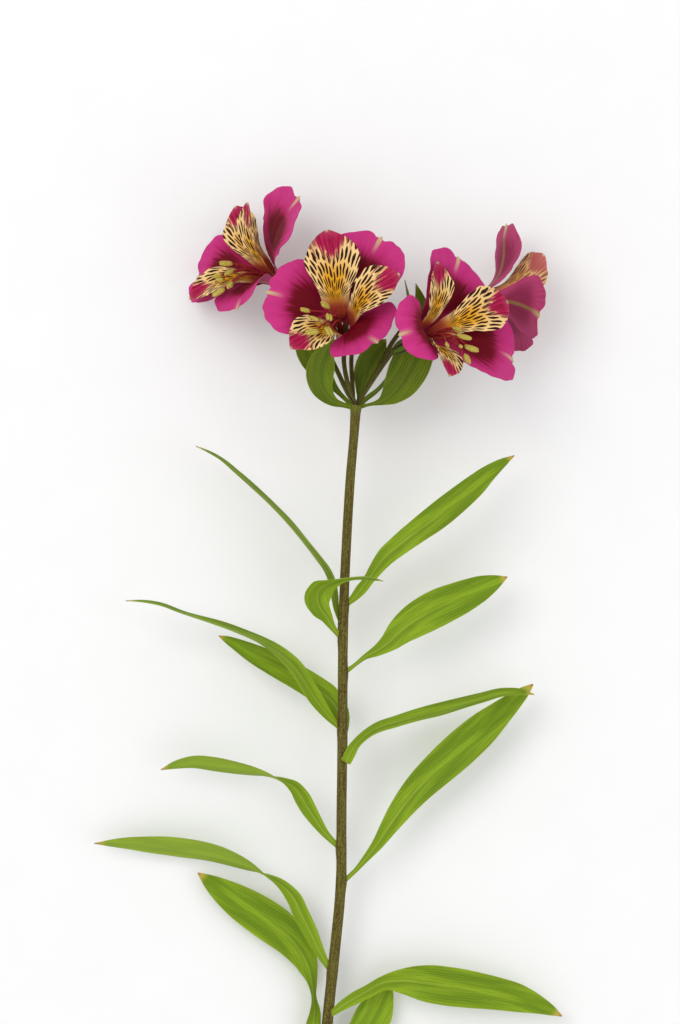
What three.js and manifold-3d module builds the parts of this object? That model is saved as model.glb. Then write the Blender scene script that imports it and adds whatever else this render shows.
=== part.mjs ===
// A cut alstroemeria (Peruvian lily) lying on its back: one stem, thirteen leaves, a whorl of five bracts,
// and five stalks that carry four open flowers and one bud.
//
// Millimetres. +Y runs along the stem toward the flowers, +Z is up, and the stem's cut end rests on the ground.

import * as THREE from "three";
import Module from "manifold-3d";

const CLEARANCE = 0.3; // gap left wherever two pieces meet
const LEAF_THICKNESS = 0.6;
const PETAL_THICKNESS = 0.5;

const STEM_TOP = new THREE.Vector3(7.2, 340, 40);
const STEM_END_RADIUS = 2.6;
const STEM_TOP_RADIUS = 2.0;

const STALK_RING_RADIUS = 1.3; // circle on the stem's top on which the five stalks stand
const STALK_FOOT_RADIUS = 0.6;
const BUD_STALK_FOOT = 234; // degrees round that circle
const OVARY_LENGTH = 8;
const OVARY_RADIUS = 3.1;
const CLAW_RING_RADIUS = 2.6; // circle round a flower's axis on which its six petals stand

const material = (color, roughness) => new THREE.MeshStandardMaterial({ color, roughness, metalness: 0 });

const stemMaterial = material(0x6b6030, 0.6);
const leafMaterial = material(0x729b22, 0.55);
const bractMaterial = material(0x668a26, 0.55);
const stalkMaterial = material(0x5a4a30, 0.6);
const outerPetalMaterial = material(0xc22f74, 0.6);
const innerPetalMaterial = material(0xeec088, 0.6);
const stamenMaterial = material(0xa8402e, 0.55);
const budMaterial = material(0xa83a62, 0.6);

const solids = await Module();
solids.setup();

const plant = new THREE.Group();
plant.name = "alstroemeria";

function addPiece(parent, name, geometry, pieceMaterial) {
  const piece = new THREE.Mesh(geometry, pieceMaterial);
  piece.name = name;
  parent.add(piece);
  return piece;
}

// ---- closed surfaces from rings ----------------------------------------------------------------

// Joins equal rings of points between a first and a last single point into one closed surface. In a
// blade the second half of each ring lies over the first: `mirrored` cuts its cells the other way, so
// that the blade's two faces stay parallel however far it is twisted.
function closedSurface(firstPole, rings, lastPole, mirrored = false) {
  const size = rings[0].length;
  const points = [firstPole, ...rings.flat(), lastPole];
  const last = points.length - 1;
  const index = [];
  for (let side = 0; side < size; side++) {
    const next = (side + 1) % size;
    index.push(0, 1 + next, 1 + side);
    for (let ring = 0; ring < rings.length - 1; ring++) {
      const here = 1 + ring * size;
      const above = here + size;
      const corners = [here + side, here + next, above + next, above + side];
      if (mirrored && side >= size / 2) corners.push(corners.shift());
      const [a, b, c, d] = corners;
      index.push(a, b, c);
      index.push(a, c, d);
    }
    const top = last - size;
    index.push(top + side, top + next, last);
  }
  const surface = new THREE.BufferGeometry().setFromPoints(points);
  surface.setIndex(index);
  surface.computeVertexNormals();
  return surface;
}

// A station is [x, y, z, width, turn]: a point on the midrib, the full width there, and how far the
// blade is turned round its midrib, in degrees (0 = lying flat, 90 = its left margin straight up).
function smoothStations(stations) {
  const spine = new THREE.CatmullRomCurve3(stations.map(([x, y, z]) => new THREE.Vector3(x, y, z)));
  const form = new THREE.SplineCurve(stations.map(([, , , width, turn]) => new THREE.Vector2(width, turn)));
  return { spine, form };
}

// The directions across a blade and out of its upper face, for a midrib that runs along `tangent`.
function bladeDirections(tangent, turnDegrees) {
  const level = new THREE.Vector3(0, 0, 1).cross(tangent).normalize();
  const across = level.applyAxisAngle(tangent, THREE.MathUtils.degToRad(turnDegrees));
  const outward = tangent.clone().cross(across);
  return { across, outward };
}

// A thin blade: a lens-shaped section with sharp margins, carried along the midrib.
// camber is how far the margins lift above the midrib, as a share of the half width; crowding above 1
// draws the rings together toward the tip, so that a broad tip comes out round.
function bladeGeometry(stations, { rings, columns, thickness, camber, crowding }) {
  const { spine, form } = smoothStations(stations);
  const ringPoints = [];
  for (let i = 1; i <= rings; i++) {
    const along = 1 - (1 - i / (rings + 1)) ** crowding;
    const centre = spine.getPoint(along);
    const { x: width, y: turn } = form.getPoint(along);
    const { across, outward } = bladeDirections(spine.getTangent(along), turn);
    const half = width / 2;
    const at = (share, side) => {
      const depth = camber * half * share * share + side * (thickness / 2) * (1 - share * share);
      return centre.clone().addScaledVector(across, half * share).addScaledVector(outward, depth);
    };
    const ring = [];
    for (let c = 0; c < columns; c++) ring.push(at(-1 + (2 * c) / columns, -1));
    for (let c = 0; c < columns; c++) ring.push(at(1 - (2 * c) / columns, 1));
    ringPoints.push(ring);
  }
  return closedSurface(spine.getPoint(0), ringPoints, spine.getPoint(1), true);
}

// A round stalk through [x, y, z, radius] stations, rounded off at both ends.
function stalkGeometry(stations, { rings, sides }) {
  const spine = new THREE.CatmullRomCurve3(stations.map(([x, y, z]) => new THREE.Vector3(x, y, z)));
  const form = new THREE.SplineCurve(stations.map(([, , , radius]) => new THREE.Vector2(radius, 0)));
  const frames = spine.computeFrenetFrames(rings - 1);
  const ringPoints = [];
  for (let i = 0; i < rings; i++) {
    const along = i / (rings - 1);
    const centre = spine.getPointAt(along);
    const radius = form.getPoint(spine.getUtoTmapping(along)).x;
    const ring = [];
    for (let s = 0; s < sides; s++) {
      const angle = (2 * Math.PI * s) / sides;
      const point = centre.clone();
      point.addScaledVector(frames.normals[i], radius * Math.cos(angle));
      point.addScaledVector(frames.binormals[i], radius * Math.sin(angle));
      ring.push(point);
    }
    ringPoints.push(ring);
  }
  return closedSurface(spine.getPoint(0), ringPoints, spine.getPoint(1));
}

// ---- stem --------------------------------------------------------------------------------------

// Points on the stem's middle line, from the cut end to the whorl.
const STEM_LINE = [
  [-10.5, -10, 2.7],
  [-8.4, 20, 5.9],
  [-5.6, 60, 10.2],
  [-2.9, 86, 12.9],
  [0.4, 122, 16.8],
  [0.6, 150, 19.7],
  [1.1, 188, 23.8],
  [1.6, 246, 30],
  [4.5, 305, 36.3],
  [6.2, 325, 38.4],
  [STEM_TOP.x, STEM_TOP.y, STEM_TOP.z],
];

function stem() {
  const last = STEM_LINE.length - 1;
  const stations = STEM_LINE.map(([x, y, z], i) => {
    const radius = THREE.MathUtils.lerp(STEM_END_RADIUS, STEM_TOP_RADIUS, i / last);
    return [x, y, z, i === last ? radius + 0.4 : radius];
  });
  return stalkGeometry(stations, { rings: 24, sides: 10 });
}

// ---- leaves ------------------------------------------------------------------------------------

// Each leaf from its narrow base at the stem to its tip, as [x, y, z, width, turn] stations.
const LEAVES = {
  leaf_01: [
    [-1.4, 242, 29.5, 3, 55],
    [-2.6, 253, 29, 5.5, 55],
    [-5.2, 263, 28, 8, 68],
    [-13, 274, 26, 10, 76],
    [-25.7, 289, 24, 11, 79],
    [-41.9, 304.8, 22, 10, 80],
    [-55, 316, 21, 7, 80],
    [-66.2, 321.9, 21, 2, 80],
  ],
  leaf_02: [
    [-1.6, 236, 30.5, 2, 0],
    [-5.5, 243, 33, 5, 0],
    [-10, 250.5, 36, 11, 5],
    [-9, 256.5, 39.5, 13, 35],
    [-2.5, 260.2, 42.5, 11, 70],
    [6, 262, 43.5, 8, 80],
    [13, 262, 43, 5, 75],
    [19.8, 260.3, 41.5, 2, 70],
  ],
  leaf_03: [
    [4.6, 250.6, 30.5, 2, 0],
    [8.4, 255.2, 32, 5, 15],
    [13.2, 261.6, 34, 6, 35],
    [20, 270.8, 36, 8.2, 10],
    [30, 279.2, 37, 10, 0],
    [45, 290.4, 37, 12, 0],
    [60, 302.7, 35, 10.2, 0],
    [70, 311.4, 33, 6, 0],
    [79.6, 317.5, 31, 1.5, 0],
  ],
  leaf_04: [
    [4.4, 219.8, 27.8, 1.8, 0],
    [10.5, 225.2, 29, 2.2, 0],
    [20, 230.6, 30, 7, 0],
    [30, 239.6, 30.5, 14, 0],
    [42, 247, 30, 17, 0],
    [55, 252.8, 28, 15, 0],
    [66, 257.8, 26, 10.5, 0],
    [76.5, 262.2, 24, 2, 0],
  ],
  leaf_05: [
    [-1.9, 194.6, 25.5, 2.5, 30],
    [-7.2, 201.3, 28, 6, 35],
    [-12.5, 208.6, 30, 9, 45],
    [-20, 220.4, 31.5, 11, 55],
    [-31, 230, 31.5, 12, 72],
    [-48, 237.8, 30, 11, 79],
    [-68.9, 244.8, 28, 9, 81],
    [-85, 250.2, 27, 6, 81],
    [-98, 251.3, 26.5, 2, 78],
  ],
  leaf_06: [
    [1.6, 189, 21.1, 3, 0],
    [0.6, 197, 20.4, 8, 0],
    [-4, 205.6, 19.6, 11, 0],
    [-15, 213.6, 19, 11.5, 0],
    [-28, 221, 18, 11, 0],
    [-40, 227.2, 17, 8.6, 0],
    [-49, 232, 16.4, 4.8, 0],
    [-55.8, 235.2, 16, 1.5, 0],
  ],
  leaf_07: [
    [0.9, 174, 26, 2, -10],
    [3.8, 180.2, 27.4, 5.5, -25],
    [8.2, 187, 28.4, 5.5, -45],
    [17, 193.4, 29, 7, -52],
    [30, 197.4, 30, 10, -58],
    [45, 201.3, 30, 11, -60],
    [62, 206.2, 29, 9, -62],
    [78, 210, 28, 5, -50],
    [88.8, 208.6, 27.5, 1.5, -20],
  ],
  leaf_08: [
    [3.6, 123.8, 17.2, 2, 0],
    [9, 130.2, 18, 2.4, 0],
    [16, 138.6, 19, 5, 10],
    [24, 150.6, 20, 9, 5],
    [34, 163.8, 20.5, 13, 0],
    [48, 177.5, 20.5, 16, 0],
    [62, 190, 20, 16, 0],
    [75, 201.6, 19.5, 10.5, 0],
    [83, 208.6, 19, 6, 0],
    [88.6, 213.4, 19, 1.5, 0],
  ],
  leaf_09: [
    [-2.8, 139.8, 18.8, 1.8, 0],
    [-9.6, 148.8, 20, 5, 5],
    [-15.8, 158.6, 21.5, 7.4, 10],
    [-20.4, 165.6, 22.5, 7, 35],
    [-28, 169.8, 22.5, 6.4, 84],
    [-40, 173, 21, 8, 124],
    [-56, 176, 19, 8.6, 140],
    [-70, 177, 17, 6.4, 145],
    [-82.4, 173.6, 16, 1.5, 150],
  ],
  leaf_10: [
    [-6.6, 83.4, 13, 2.4, 0],
    [-11.6, 95.4, 14.5, 6, 0],
    [-17.4, 107, 16, 7.4, 10],
    [-23, 117.6, 17, 7.2, 30],
    [-31.5, 124, 17, 6, 75],
    [-43, 130, 16, 9.5, 125],
    [-60, 135.2, 14, 12, 138],
    [-80, 138.4, 12, 11, 142],
    [-98, 139.6, 10.5, 6.5, 145],
    [-113.4, 139.6, 9.5, 1.5, 150],
  ],
  leaf_11: [
    [-10.6, 40, 8.2, 2, 0],
    [-12.6, 52, 8.4, 7, 10],
    [-11.8, 62, 8.6, 6.5, 40],
    [-12.6, 71, 8.8, 6, 70],
    [-14, 81, 8.4, 9, 25],
    [-22, 95, 8, 16, 5],
    [-34, 104.6, 7.6, 18, 0],
    [-46, 112.4, 7.2, 15.5, 0],
    [-57, 119.8, 6.8, 9.5, 0],
    [-65.7, 126.2, 6.6, 1.5, 0],
  ],
  leaf_12: [
    [-5, 61.8, 13.9, 2.2, 0],
    [4, 67.6, 14.4, 5.4, 0],
    [12, 72.2, 15, 6.5, 20],
    [22, 77, 15.4, 8, 15],
    [36, 76.6, 15.4, 16, 0],
    [52, 74.4, 15, 17.8, 0],
    [68, 72, 14, 15.6, 0],
    [84, 68.4, 13, 12, 0],
    [95, 64.2, 12.4, 6, 0],
    [102.2, 60.4, 12, 1.5, 0],
  ],
  leaf_13: [
    [-3.6, 37, 8.2, 2, 0],
    [2.4, 42.6, 8, 6, 0],
    [9.6, 51, 7.4, 14, 0],
    [16, 61.6, 7, 16.5, 0],
    [20.4, 71, 7, 9, 0],
    [22.4, 78.5, 7, 1.5, 0],
  ],
};

const LEAF_SHAPE = { rings: 12, columns: 4, thickness: LEAF_THICKNESS, camber: 0.14, crowding: 1 };

// ---- bracts: the whorl of small leaves under the flowers ------------------------------------------

const BRACTS = {
  bract_1: [
    [4.2, 339.6, 42.6, 2, 0],
    [-1.4, 340.6, 43.6, 3.4, 0],
    [-6.2, 344.2, 45.4, 7.4, 8],
    [-9, 350.4, 47.6, 12, 14],
    [-8.8, 357.6, 50, 13, 18],
    [-6.2, 364.6, 52.4, 8, 22],
    [-2.4, 370.6, 55, 1.5, 24],
  ],
  bract_2: [
    [4, 341, 36.6, 1.8, 0],
    [-2, 347.2, 36.5, 3, 0],
    [-8, 354.6, 37, 9, 0],
    [-12.4, 362.4, 38, 13, 0],
    [-15, 371, 38.5, 11, 0],
    [-16.4, 382, 38, 1.5, 0],
  ],
  bract_3: [
    [8.8, 341.6, 35.8, 1.8, 0],
    [9.6, 347, 34, 5, -20],
    [11.4, 353.6, 33.6, 10.5, -10],
    [14, 360.6, 34.4, 11.5, 0],
    [17.6, 366, 34.2, 8, 0],
    [21, 370, 34, 1.5, 0],
  ],
  bract_4: [
    [10.6, 340.2, 38.6, 1.8, 0],
    [17.4, 341, 38.4, 2.6, 0],
    [25, 346.6, 38.2, 13, 0],
    [31, 356.4, 38, 18, 0],
    [35.6, 368.4, 37, 15.5, 0],
    [37.4, 381, 36, 8.5, 0],
    [34.2, 395.5, 35, 1.5, 0],
  ],
  bract_5: [
    [10.2, 341.8, 37, 1.8, 0],
    [16.4, 346.6, 34.5, 3.6, 60],
    [23.4, 355.6, 32, 6.6, 75],
    [29, 367.6, 30, 8, 78],
    [31.6, 381, 29, 6.5, 72],
    [29.4, 397.4, 28.5, 1.5, 70],
  ],
};

const BRACT_SHAPE = { rings: 10, columns: 4, thickness: LEAF_THICKNESS, camber: 0.16, crowding: 1 };

// ---- flowers -----------------------------------------------------------------------------------

// Everything in a flower is drawn with the flower's axis as +Z: `at` is the direction in degrees
// round the axis in which a petal spreads, `claw` the place of its foot on the ring, `reach` how far
// from the axis its tip comes, `rise` how far above the ovary it spreads, and `curl` how much its
// tip lifts (or, below zero, drops back).
const FLOWERS = {
  left_flower: {
    base: [-25, 395, 18],
    axis: [-0.72, 0.45, 0.53],
    stalk: [
      [3.6, 345, 40],
      [-2.7, 358.4, 38],
      [-11.5, 376, 25],
    ],
    stalkFoot: 162,
    outer: [
      { at: 52, claw: 60, reach: 38, rise: 25, curl: 2, width: 38 },
      { at: 190, claw: 180, reach: 38, rise: 24, curl: 0, width: 34 },
      { at: 289, claw: 300, reach: 27, rise: 24, curl: 1, width: 31 },
    ],
    inner: [
      { at: 62, claw: 0, reach: 22, rise: 36, curl: 6, width: 17 },
      { at: 121, claw: 120, reach: 29, rise: 29, curl: 3, width: 20 },
      { at: 226, claw: 240, reach: 32, rise: 30, curl: 1, width: 18 },
    ],
    stamenSide: 258,
  },
  middle_flower: {
    base: [1.5, 371, 46],
    axis: [-0.05, 0.45, 0.89],
    stalk: [
      [4, 348, 43],
      [1.8, 359, 39],
    ],
    stalkFoot: 90,
    outer: [
      { at: 64, claw: 63, reach: 40, rise: 26, curl: 0, width: 34 },
      { at: 167, claw: 183, reach: 34, rise: 26, curl: 0, width: 36 },
      { at: 314, claw: 303, reach: 24, rise: 23, curl: 2, width: 36 },
    ],
    inner: [
      { at: 101, claw: 123, reach: 36, rise: 33, curl: 1, width: 25 },
      { at: 22, claw: 3, reach: 29, rise: 34.5, curl: 2, width: 20 },
      { at: 226, claw: 243, reach: 31, rise: 27, curl: 1, width: 19 },
    ],
    stamenSide: 226,
  },
  right_flower: {
    base: [30.5, 367, 51],
    axis: [0.72, 0.35, 0.6],
    stalk: [
      [15.4, 352, 43],
      [20.6, 359.6, 44.6],
    ],
    stalkFoot: 18,
    outer: [
      { at: 61, claw: 62, reach: 36, rise: 27, curl: 1, width: 36 },
      { at: 187, claw: 182, reach: 28, rise: 23, curl: -6, width: 29 },
      { at: 334, claw: 302, reach: 41, rise: 28, curl: 0, width: 35 },
    ],
    inner: [
      { at: 100, claw: 122, reach: 27, rise: 29, curl: 3, width: 18 },
      { at: 12, claw: 2, reach: 34, rise: 35, curl: 1, width: 21 },
      { at: 245, claw: 242, reach: 29, rise: 25, curl: 1, width: 18 },
    ],
    stamenSide: 266,
  },
  far_flower: {
    base: [60, 387, 35.6],
    axis: [0.85, 0.2, -0.49],
    stalk: [
      [17, 356, 38.5],
      [26, 371.5, 38.5],
      [38, 382.5, 39],
    ],
    stalkFoot: 306,
    outer: [
      { at: 84, claw: 80, reach: 31, rise: 24, curl: 3, width: 21 },
      { at: 210, claw: 200, reach: 23, rise: 22, curl: 0, width: 31 },
      { at: 302, claw: 320, reach: 28, rise: 24, curl: 0, width: 30 },
    ],
    inner: [
      { at: 134, claw: 140, reach: 21, rise: 30, curl: 3, width: 19 },
      { at: 56, claw: 20, reach: 17, rise: 34, curl: 4, width: 17 },
      { at: 260, claw: 260, reach: 19, rise: 26, curl: 1, width: 13 },
    ],
    stamenSide: 300,
  },
};

// A petal's width at its stations, as a share of its full width.
const OUTER_WIDTHS = [0.055, 0.09, 0.5, 0.94, 0.97, 0.34];
const INNER_WIDTHS = [0.08, 0.13, 0.55, 1, 0.64, 0.1];
const OUTER_SHAPE = { rings: 10, columns: 6, thickness: PETAL_THICKNESS, camber: 0.14, crowding: 1.5 };
const INNER_SHAPE = { rings: 10, columns: 4, thickness: PETAL_THICKNESS, camber: 0.2, crowding: 1.2 };

function petalStations({ at, claw, reach, rise, curl, width }, widths) {
  const side = (angle, radius, height, share) => {
    const direction = THREE.MathUtils.degToRad(angle);
    return [radius * Math.cos(direction), radius * Math.sin(direction), height, width * share, 0];
  };
  const swing = THREE.MathUtils.lerp(claw, at, 0.75);
  return [
    side(claw, CLAW_RING_RADIUS, CLEARANCE, widths[0]),
    side(claw, CLAW_RING_RADIUS + 1.4, rise * 0.34, widths[1]),
    side(swing, reach * 0.3, rise * 0.72, widths[2]),
    side(at, reach * 0.58, rise * 0.94, widths[3]),
    side(at, reach * 0.84, rise + curl * 0.3, widths[4]),
    side(at, reach, rise + curl, widths[5]),
  ];
}

// The turn that carries +Z onto the flower's axis and keeps the plant's length as near +Y as it can.
function flowerFrame(axis) {
  const forward = new THREE.Vector3(...axis).normalize();
  const up = new THREE.Vector3(0, 1, 0).addScaledVector(forward, -forward.y).normalize();
  const sideways = up.clone().cross(forward);
  return new THREE.Matrix4().makeBasis(sideways, up, forward);
}

// Where a stalk stands on the top of the stem, in the direction `angle` round the stem.
function stalkFoot(angle) {
  const direction = THREE.MathUtils.degToRad(angle);
  const sideways = STALK_RING_RADIUS * Math.cos(direction);
  const upward = STALK_RING_RADIUS * Math.sin(direction);
  return [STEM_TOP.x + sideways, STEM_TOP.y + 2 * CLEARANCE, STEM_TOP.z + upward, STALK_FOOT_RADIUS];
}

// A flower's stalk leaves the whorl, swells into the ovary and ends in the disc its petals stand on.
function flowerStalk(flower) {
  const axis = new THREE.Vector3(...flower.axis).normalize();
  const base = new THREE.Vector3(...flower.base);
  const below = (distance) => base.clone().addScaledVector(axis, -distance).toArray();
  const stations = [
    stalkFoot(flower.stalkFoot),
    ...flower.stalk.map((point) => [...point, 1.05]),
    [...below(OVARY_LENGTH + 1.5), 1.3],
    [...below(OVARY_LENGTH * 0.72), OVARY_RADIUS * 0.85],
    [...below(OVARY_LENGTH * 0.35), OVARY_RADIUS],
    [...base.toArray(), OVARY_RADIUS * 0.95],
  ];
  return stalkGeometry(stations, { rings: 18, sides: 8 });
}

// Where each anther is: the angle from the side toward which the stamens bend, its distance from the
// axis, and its height above the ovary.
const ANTHERS = [
  [-28, 6, 32],
  [14, 8, 31],
  [-8, 13, 31],
  [28, 14, 30],
  [-34, 15, 29],
  [6, 18, 30],
];
const STYLE_TIP = [0, 3.4, 26];
const FILAMENT_RADIUS = 0.4;

function filamentGeometry(angle, distance, height, footDistance) {
  const direction = THREE.MathUtils.degToRad(angle);
  const outward = new THREE.Vector3(Math.cos(direction), Math.sin(direction), 0);
  const at = (radius, level) => [...outward.clone().multiplyScalar(radius).setZ(level).toArray(), FILAMENT_RADIUS];
  const stations = [
    at(footDistance, 0.9),
    at(footDistance + 0.5, height * 0.45),
    at(footDistance + distance * 0.35, height * 0.8),
    at(distance, height),
  ];
  return stalkGeometry(stations, { rings: 7, sides: 5 });
}

function antherGeometry(angle, distance, height) {
  const direction = THREE.MathUtils.degToRad(angle);
  const anther = new THREE.SphereGeometry(1, 8, 6);
  anther.scale(2.3, 1.1, 0.9);
  anther.rotateY(-0.5);
  anther.rotateZ(direction);
  anther.translate(distance * Math.cos(direction), distance * Math.sin(direction), height);
  return anther;
}

// Welds a three.js geometry's vertices and hands it over as a solid.
function solidFrom(geometry) {
  const places = new Map();
  const positions = [];
  const corners = geometry.getAttribute("position");
  const weld = (i) => {
    const place = [corners.getX(i), corners.getY(i), corners.getZ(i)];
    const key = place.map((value) => Math.round(value * 1e4)).join(" ");
    if (!places.has(key)) {
      places.set(key, places.size);
      positions.push(...place);
    }
    return places.get(key);
  };
  const index = geometry.getIndex().array;
  const triangles = [];
  for (let i = 0; i < index.length; i += 3) {
    const [a, b, c] = [weld(index[i]), weld(index[i + 1]), weld(index[i + 2])];
    if (a !== b && b !== c && c !== a) triangles.push(a, b, c);
  }
  const vertProperties = new Float32Array(positions);
  const triVerts = new Uint32Array(triangles);
  return new solids.Manifold(new solids.Mesh({ numProp: 3, vertProperties, triVerts }));
}

function joined(geometries) {
  const mesh = solids.Manifold.union(geometries.map(solidFrom)).getMesh();
  const surface = new THREE.BufferGeometry();
  surface.setAttribute("position", new THREE.BufferAttribute(mesh.vertProperties, 3));
  surface.setIndex(new THREE.BufferAttribute(mesh.triVerts, 1));
  surface.computeVertexNormals();
  return surface;
}

// The six stamens and the style, which all stand on one small cushion in the bottom of the flower.
function stamenBundle(stamenSide) {
  const cushion = new THREE.SphereGeometry(1.5, 10, 6);
  cushion.scale(1, 1, 0.55);
  cushion.translate(0, 0, 0.83 + CLEARANCE);
  const pieces = [cushion];
  ANTHERS.forEach(([offset, distance, height]) => {
    pieces.push(filamentGeometry(stamenSide + offset, distance, height, 0.75));
    pieces.push(antherGeometry(stamenSide + offset, distance, height));
  });
  const [offset, distance, height] = STYLE_TIP;
  pieces.push(filamentGeometry(stamenSide + offset, distance, height, 0.2));
  return joined(pieces);
}

function addFlower(name, flower) {
  addPiece(plant, `${name}_stalk`, flowerStalk(flower), stalkMaterial);
  const head = new THREE.Group();
  head.name = name;
  head.setRotationFromMatrix(flowerFrame(flower.axis));
  head.position.set(...flower.base);
  flower.outer.forEach((petal, i) => {
    const geometry = bladeGeometry(petalStations(petal, OUTER_WIDTHS), OUTER_SHAPE);
    addPiece(head, `${name}_outer_petal_${i + 1}`, geometry, outerPetalMaterial);
  });
  flower.inner.forEach((petal, i) => {
    const geometry = bladeGeometry(petalStations(petal, INNER_WIDTHS), INNER_SHAPE);
    addPiece(head, `${name}_inner_petal_${i + 1}`, geometry, innerPetalMaterial);
  });
  addPiece(head, `${name}_stamens`, stamenBundle(flower.stamenSide), stamenMaterial);
  plant.add(head);
}

// ---- bud ---------------------------------------------------------------------------------------

function bud() {
  return stalkGeometry(
    [
      [9, 390, 27.5, 2.2],
      [9.3, 394, 27, 3.6],
      [9.6, 399, 26.5, 3.9],
      [9.8, 405, 26, 2.6],
      [9.9, 409, 25.8, 0.8],
    ],
    { rings: 8, sides: 9 },
  );
}

function budStalk() {
  const stations = [
    stalkFoot(BUD_STALK_FOOT),
    [5.6, 350, 36, 1],
    [5.2, 362, 32, 1],
    [7.4, 376, 29, 1.2],
    [8.8, 384, 28.2, 2.2],
    [8.98, 389.6, 27.55, 2],
  ];
  return stalkGeometry(stations, { rings: 16, sides: 8 });
}

// ---- the whole plant -----------------------------------------------------------------------------

addPiece(plant, "stem", stem(), stemMaterial);
for (const [name, stations] of Object.entries(LEAVES)) {
  addPiece(plant, name, bladeGeometry(stations, LEAF_SHAPE), leafMaterial);
}
for (const [name, stations] of Object.entries(BRACTS)) {
  addPiece(plant, name, bladeGeometry(stations, BRACT_SHAPE), bractMaterial);
}
for (const [name, flower] of Object.entries(FLOWERS)) {
  addFlower(name, flower);
}
addPiece(plant, "bud_stalk", budStalk(), stalkMaterial);
addPiece(plant, "bud", bud(), budMaterial);

// The origin goes to the middle of the ground under the plant.
plant.updateMatrixWorld(true);
const bounds = new THREE.Box3().setFromObject(plant, true);
const middle = bounds.getCenter(new THREE.Vector3());
plant.position.set(-middle.x, -middle.y, -bounds.min.z);

export default plant;
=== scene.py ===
"""Looks for a cut alstroemeria lying on its back on a pale floor.

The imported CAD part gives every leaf, petal and stalk as a coarse closed blade or tube drawn through rings
of points. This script reads those rings back, draws a fine surface through them, and adds what the CAD
leaves out: midribs, veins, wavy and scalloped margins, notched petal tips, ribs, anthers and patterns.
Metres, in the CAD's own frame.
"""

import math
import zlib

import bmesh
import bpy
import numpy as np
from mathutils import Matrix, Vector, noise


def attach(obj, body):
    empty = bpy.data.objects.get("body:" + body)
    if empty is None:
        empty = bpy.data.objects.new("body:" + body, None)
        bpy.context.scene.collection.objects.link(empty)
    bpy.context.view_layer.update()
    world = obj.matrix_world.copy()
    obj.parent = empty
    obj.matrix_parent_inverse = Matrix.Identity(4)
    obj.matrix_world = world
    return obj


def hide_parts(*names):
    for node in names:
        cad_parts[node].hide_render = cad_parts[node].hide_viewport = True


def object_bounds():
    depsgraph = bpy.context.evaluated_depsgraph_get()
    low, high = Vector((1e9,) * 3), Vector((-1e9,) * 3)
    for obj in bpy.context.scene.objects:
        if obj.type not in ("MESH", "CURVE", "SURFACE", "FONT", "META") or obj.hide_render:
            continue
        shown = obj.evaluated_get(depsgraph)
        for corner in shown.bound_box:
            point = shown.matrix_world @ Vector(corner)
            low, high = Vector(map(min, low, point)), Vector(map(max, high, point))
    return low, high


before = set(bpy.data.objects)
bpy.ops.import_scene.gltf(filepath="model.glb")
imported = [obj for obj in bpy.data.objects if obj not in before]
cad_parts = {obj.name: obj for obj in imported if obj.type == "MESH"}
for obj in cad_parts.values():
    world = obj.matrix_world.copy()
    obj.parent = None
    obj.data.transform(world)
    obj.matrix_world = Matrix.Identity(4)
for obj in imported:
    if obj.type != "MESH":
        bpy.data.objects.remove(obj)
cad_low, cad_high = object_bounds()

MM = 0.001
BODY = "root"
WELD = 0.004 * MM
UP = np.array([0.0, 0.0, 1.0])

LEAVES = [f"leaf_{i:02d}" for i in range(1, 14)]
BRACTS = [f"bract_{i}" for i in range(1, 6)]
FLOWERS = ["left_flower", "middle_flower", "right_flower", "far_flower"]

BLADE_THICKNESS = 0.4 * MM
LEAF_MARGIN_THICKNESS = 0.2 * MM
PETAL_MARGIN_THICKNESS = 0.18 * MM
LEAF_ROOT_WIDTH = 2.2 * MM
PETAL_ROOT_WIDTH = 2.4 * MM


# ---- reading the CAD's rings ---------------------------------------------------------------------


def cad_points(node):
    return np.array([v.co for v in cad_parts[node].data.vertices])


def neighbours(vertex):
    return {edge.other_vert(vertex) for edge in vertex.link_edges}


def walk_ring(members):
    """The points of one ring, in order round it."""
    ring = [min(members, key=lambda v: v.index)]
    while len(ring) < len(members):
        ring.append(next(v for v in neighbours(ring[-1]) if v in members and v not in ring))
    return np.array([v.co for v in ring])


def turn_of(ring):
    """A vector that the ring runs round counterclockwise."""
    spokes = ring - ring.mean(axis=0)
    return np.cross(spokes, np.roll(spokes, -1, axis=0)).sum(axis=0)


def beside(ring, below):
    """The ring started at the point that lies over the first point of the ring below."""
    spokes = below - below.mean(axis=0)
    starts = [np.roll(ring, -k, axis=0) for k in range(len(ring))]
    return min(starts, key=lambda points: np.linalg.norm(points - points.mean(axis=0) - spokes))


def cad_rings(node, near):
    """A CAD piece as (end point nearest `near`, its rings of points, other end point).

    The rings turn the same way and all start on the same line along the piece.
    """
    bm = bmesh.new()
    bm.from_mesh(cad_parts[node].data)
    bmesh.ops.remove_doubles(bm, verts=bm.verts, dist=WELD)
    bm.verts.index_update()
    ends = sorted(bm.verts, key=lambda v: len(v.link_edges))[-2:]
    foot, tip = sorted(ends, key=lambda v: (v.co - Vector(near)).length)
    layers = [{foot}]
    seen = {foot}
    while tip not in layers[-1]:
        layers.append(set().union(*(neighbours(v) for v in layers[-1])) - seen)
        seen |= layers[-1]
    loops = [walk_ring(members) for members in layers[1:-1]]
    foot, tip = np.array(foot.co), np.array(tip.co)
    bm.free()
    centres = np.array([foot] + [loop.mean(axis=0) for loop in loops] + [tip])
    rings = []
    for loop, onward in zip(loops, centres[2:] - centres[:-2]):
        if np.dot(turn_of(loop), onward) < 0:
            loop = loop[::-1]
        rings.append(beside(loop, rings[-1]) if rings else loop)
    return foot, np.array(rings), tip


# ---- curves and waves ----------------------------------------------------------------------------


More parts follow.
